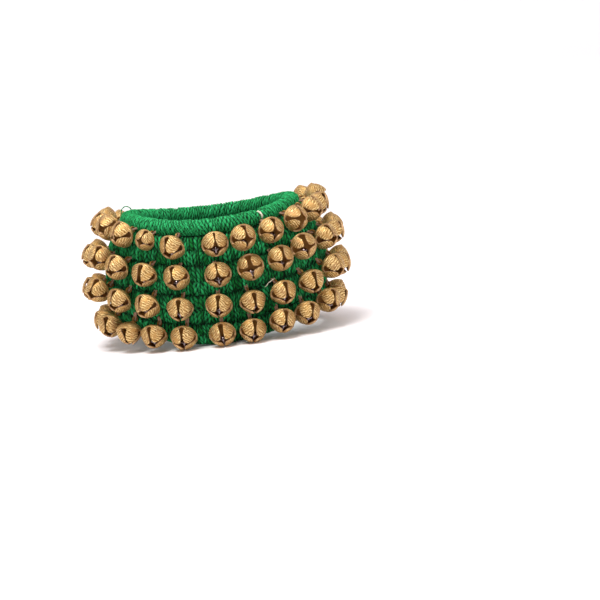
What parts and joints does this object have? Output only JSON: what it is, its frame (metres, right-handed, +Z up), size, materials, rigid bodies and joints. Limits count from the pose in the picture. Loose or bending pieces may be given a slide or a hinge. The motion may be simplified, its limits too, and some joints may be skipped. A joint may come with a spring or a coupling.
{
  "type": "ghungroo ankle bells",
  "caption": "Padded ankle band of yarn-covered courses with rows of slotted brass jingle bells tied on by twine, a loose pellet in each bell, closed by a hook-and-loop strap.",
  "frame": {"origin": "middle of the leg that the band closes round, half way up the band", "axes": "+Z up the leg, +X from heel to instep, -Y towards the side that is seen first"},
  "size_m": [0.1741, 0.1222, 0.0877],
  "materials": {
    "yarn": "thick soft yarn",
    "lining": "plain woven cotton",
    "webbing": "woven webbing",
    "tape": "hook-and-loop nylon",
    "twine": "twisted cotton",
    "brass": "cast and tumbled",
    "steel": "bright ball"
  },
  "bodies": {
    "band": {"top_roll": "yarn", "course_1": "yarn", "course_2": "yarn", "course_3": "yarn", "bottom_course": "yarn", "lining_band": "lining", "loop_tape": "tape", "bell_string_01": "brass", "bell_string_02": "brass", "bell_string_03": "brass", "bell_string_04": "brass", "bell_string_05": "brass", "bell_string_06": "brass", "bell_string_07": "brass", "bell_string_08": "brass", "twine_09": "twine", "twine_10": "twine", "twine_11": "twine", "twine_12": "twine", "bell_string_13": "brass", "bell_string_14": "brass", "bell_string_15": "brass", "bell_string_16": "brass", "bell_string_17": "brass", "bell_string_18": "brass"},
    "bell_09_1": {"bell_09_1": "brass"},
    "pellet_09_1": {"pellet_09_1": "steel"},
    "bell_09_2": {"bell_09_2": "brass"},
    "pellet_09_2": {"pellet_09_2": "steel"},
    "bell_09_3": {"bell_09_3": "brass"},
    "pellet_09_3": {"pellet_09_3": "steel"},
    "bell_09_4": {"bell_09_4": "brass"},
    "pellet_09_4": {"pellet_09_4": "steel"},
    "bell_10_1": {"bell_10_1": "brass"},
    "pellet_10_1": {"pellet_10_1": "steel"},
    "bell_10_2": {"bell_10_2": "brass"},
    "pellet_10_2": {"pellet_10_2": "steel"},
    "bell_10_3": {"bell_10_3": "brass"},
    "pellet_10_3": {"pellet_10_3": "steel"},
    "bell_10_4": {"bell_10_4": "brass"},
    "pellet_10_4": {"pellet_10_4": "steel"},
    "bell_11_1": {"bell_11_1": "brass"},
    "pellet_11_1": {"pellet_11_1": "steel"},
    "bell_11_2": {"bell_11_2": "brass"},
    "pellet_11_2": {"pellet_11_2": "steel"},
    "bell_11_3": {"bell_11_3": "brass"},
    "pellet_11_3": {"pellet_11_3": "steel"},
    "bell_11_4": {"bell_11_4": "brass"},
    "pellet_11_4": {"pellet_11_4": "steel"},
    "bell_12_1": {"bell_12_1": "brass"},
    "pellet_12_1": {"pellet_12_1": "steel"},
    "bell_12_2": {"bell_12_2": "brass"},
    "pellet_12_2": {"pellet_12_2": "steel"},
    "bell_12_3": {"bell_12_3": "brass"},
    "pellet_12_3": {"pellet_12_3": "steel"},
    "bell_12_4": {"bell_12_4": "brass"},
    "pellet_12_4": {"pellet_12_4": "steel"},
    "strap": {"closure_strap": "webbing", "hook_tape": "tape"}
  },
  "joints": [
    {"name": "swing_09_1", "type": "hinge", "parent": "band", "child": "bell_09_1", "pos_m": [-0.02201, -0.04357, 0.028], "axis": [-0.9421, 0.3353, 0], "range_deg": [0, 12]},
    {"name": "rattle_09_1", "type": "slide", "parent": "bell_09_1", "child": "pellet_09_1", "axis": [0, 0, 1], "range_m": [0, 0.00662]},
    {"name": "swing_09_2", "type": "hinge", "parent": "band", "child": "bell_09_2", "pos_m": [-0.02265, -0.04539, 0.00928], "axis": [-0.9421, 0.3353, 0], "range_deg": [0, 12]},
    {"name": "rattle_09_2", "type": "slide", "parent": "bell_09_2", "child": "pellet_09_2", "axis": [0, 0, 1], "range_m": [0, 0.00653]},
    {"name": "swing_09_3", "type": "hinge", "parent": "band", "child": "bell_09_3", "pos_m": [-0.02274, -0.04563, -0.0095], "axis": [-0.9421, 0.3353, 0], "range_deg": [0, 12]},
    {"name": "rattle_09_3", "type": "slide", "parent": "bell_09_3", "child": "pellet_09_3", "axis": [0, 0, 1], "range_m": [0, 0.00645]},
    {"name": "swing_09_4", "type": "hinge", "parent": "band", "child": "bell_09_4", "pos_m": [-0.02227, -0.04431, -0.0282], "axis": [-0.9421, 0.3353, 0], "range_deg": [0, 12]},
    {"name": "rattle_09_4", "type": "slide", "parent": "bell_09_4", "child": "pellet_09_4", "axis": [0, 0, 1], "range_m": [0, 0.00637]},
    {"name": "swing_10_1", "type": "hinge", "parent": "band", "child": "bell_10_1", "pos_m": [-0.00082, -0.04646, 0.02655], "axis": [-0.9999, 0.0123, 0], "range_deg": [0, 12]},
    {"name": "rattle_10_1", "type": "slide", "parent": "bell_10_1", "child": "pellet_10_1", "axis": [0, 0, 1], "range_m": [0, 0.00642]},
    {"name": "swing_10_2", "type": "hinge", "parent": "band", "child": "bell_10_2", "pos_m": [-0.00083, -0.04711, 0.00784], "axis": [-0.9999, 0.0123, 0], "range_deg": [0, 12]},
    {"name": "rattle_10_2", "type": "slide", "parent": "bell_10_2", "child": "pellet_10_2", "axis": [0, 0, 1], "range_m": [0, 0.00643]},
    {"name": "swing_10_3", "type": "hinge", "parent": "band", "child": "bell_10_3", "pos_m": [-0.00082, -0.04684, -0.01086], "axis": [-0.9999, 0.0123, 0], "range_deg": [0, 12]},
    {"name": "rattle_10_3", "type": "slide", "parent": "bell_10_3", "child": "pellet_10_3", "axis": [0, 0, 1], "range_m": [0, 0.00643]},
    {"name": "swing_10_4", "type": "hinge", "parent": "band", "child": "bell_10_4", "pos_m": [-0.00081, -0.04567, -0.02951], "axis": [-0.9999, 0.0123, 0], "range_deg": [0, 12]},
    {"name": "rattle_10_4", "type": "slide", "parent": "bell_10_4", "child": "pellet_10_4", "axis": [0, 0, 1], "range_m": [0, 0.00644]},
    {"name": "swing_11_1", "type": "hinge", "parent": "band", "child": "bell_11_1", "pos_m": [0.01696, -0.04478, 0.02741], "axis": [-0.9663, -0.2573, 0], "range_deg": [0, 12]},
    {"name": "rattle_11_1", "type": "slide", "parent": "bell_11_1", "child": "pellet_11_1", "axis": [0, 0, 1], "range_m": [0, 0.00654]},
    {"name": "swing_11_2", "type": "hinge", "parent": "band", "child": "bell_11_2", "pos_m": [0.01733, -0.04615, 0.00868], "axis": [-0.9663, -0.2573, 0], "range_deg": [0, 12]},
    {"name": "rattle_11_2", "type": "slide", "parent": "bell_11_2", "child": "pellet_11_2", "axis": [0, 0, 1], "range_m": [0, 0.00649]},
    {"name": "swing_11_3", "type": "hinge", "parent": "band", "child": "bell_11_3", "pos_m": [0.01734, -0.0462, -0.01007], "axis": [-0.9663, -0.2573, 0], "range_deg": [0, 12]},
    {"name": "rattle_11_3", "type": "slide", "parent": "bell_11_3", "child": "pellet_11_3", "axis": [0, 0, 1], "range_m": [0, 0.00644]},
    {"name": "swing_11_4", "type": "hinge", "parent": "band", "child": "bell_11_4", "pos_m": [0.017, -0.04493, -0.02875], "axis": [-0.9663, -0.2573, 0], "range_deg": [0, 12]},
    {"name": "rattle_11_4", "type": "slide", "parent": "bell_11_4", "child": "pellet_11_4", "axis": [0, 0, 1], "range_m": [0, 0.0064]},
    {"name": "swing_12_1", "type": "hinge", "parent": "band", "child": "bell_12_1", "pos_m": [0.03297, -0.0395, 0.0298], "axis": [-0.8604, -0.5096, 0], "range_deg": [0, 12]},
    {"name": "rattle_12_1", "type": "slide", "parent": "bell_12_1", "child": "pellet_12_1", "axis": [0, 0, 1], "range_m": [0, 0.0069]},
    {"name": "swing_12_2", "type": "hinge", "parent": "band", "child": "bell_12_2", "pos_m": [0.03472, -0.04246, 0.01119], "axis": [-0.8604, -0.5096, 0], "range_deg": [0, 12]},
    {"name": "rattle_12_2", "type": "slide", "parent": "bell_12_2", "child": "pellet_12_2", "axis": [0, 0, 1], "range_m": [0, 0.00667]},
    {"name": "swing_12_3", "type": "hinge", "parent": "band", "child": "bell_12_3", "pos_m": [0.03517, -0.04322, -0.00766], "axis": [-0.8604, -0.5096, 0], "range_deg": [0, 12]},
    {"name": "rattle_12_3", "type": "slide", "parent": "bell_12_3", "child": "pellet_12_3", "axis": [0, 0, 1], "range_m": [0, 0.00647]},
    {"name": "swing_12_4", "type": "hinge", "parent": "band", "child": "bell_12_4", "pos_m": [0.03432, -0.04178, -0.02641], "axis": [-0.8604, -0.5096, 0], "range_deg": [0, 12]},
    {"name": "rattle_12_4", "type": "slide", "parent": "bell_12_4", "child": "pellet_12_4", "axis": [0, 0, 1], "range_m": [0, 0.0063]},
    {"name": "strap_peel", "type": "hinge", "parent": "band", "child": "strap", "pos_m": [0.03598, 0.04139, 0.00007], "axis": [0, 0, -1], "range_deg": [0, 85]}
  ],
  "couplings": [
    {"joint": "rattle_09_1", "follows": "swing_09_1", "m_per_rad": 0.031608},
    {"joint": "rattle_09_2", "follows": "swing_09_2", "m_per_rad": 0.031178},
    {"joint": "rattle_09_3", "follows": "swing_09_3", "m_per_rad": 0.030796},
    {"joint": "rattle_09_4", "follows": "swing_09_4", "m_per_rad": 0.030414},
    {"joint": "rattle_10_1", "follows": "swing_10_1", "m_per_rad": 0.030653},
    {"joint": "rattle_10_2", "follows": "swing_10_2", "m_per_rad": 0.0307},
    {"joint": "rattle_10_3", "follows": "swing_10_3", "m_per_rad": 0.0307},
    {"joint": "rattle_10_4", "follows": "swing_10_4", "m_per_rad": 0.030748},
    {"joint": "rattle_11_1", "follows": "swing_11_1", "m_per_rad": 0.031226},
    {"joint": "rattle_11_2", "follows": "swing_11_2", "m_per_rad": 0.030987},
    {"joint": "rattle_11_3", "follows": "swing_11_3", "m_per_rad": 0.030748},
    {"joint": "rattle_11_4", "follows": "swing_11_4", "m_per_rad": 0.030557},
    {"joint": "rattle_12_1", "follows": "swing_12_1", "m_per_rad": 0.032945},
    {"joint": "rattle_12_2", "follows": "swing_12_2", "m_per_rad": 0.031846},
    {"joint": "rattle_12_3", "follows": "swing_12_3", "m_per_rad": 0.030891},
    {"joint": "rattle_12_4", "follows": "swing_12_4", "m_per_rad": 0.03008}
  ]
}
